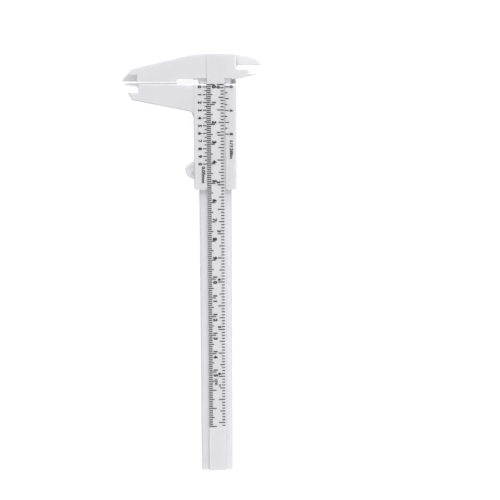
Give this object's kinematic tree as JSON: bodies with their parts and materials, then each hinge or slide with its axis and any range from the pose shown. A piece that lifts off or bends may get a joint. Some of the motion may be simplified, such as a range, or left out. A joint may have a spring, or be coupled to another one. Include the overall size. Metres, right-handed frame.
{
  "type": "vernier caliper",
  "caption": "White plastic vernier caliper with outside jaws, knife-edged inside jaws, a thumb rest on the slider and a flat steel depth rod that runs in the back of the beam.",
  "frame": {"origin": "on the beam's centreline, level with the fixed outside jaw's measuring face, in the plane that the back of the slider rests on", "axes": "+X across the beam towards the inside jaws, +Y along the beam towards the head, +Z out of the scale face"},
  "size_m": [0.0716, 0.2205, 0.0071],
  "materials": {
    "white_plastic": "satin moulded plastic, slightly warm white",
    "spring_steel": "bright rolled strip",
    "dark_steel": "dark drawn steel, low sheen"
  },
  "bodies": {
    "beam": {"main_beam": "white_plastic"},
    "slider": {"slider_body": "white_plastic", "friction_spring": "spring_steel", "depth_rod": "dark_steel", "rod_rivet_upper": "dark_steel", "rod_rivet_lower": "dark_steel"}
  },
  "joints": [
    {"name": "slider_travel", "type": "slide", "parent": "beam", "child": "slider", "axis": [0, -1, 0], "range_m": [-0.00105, 0.1489]}
  ]
}
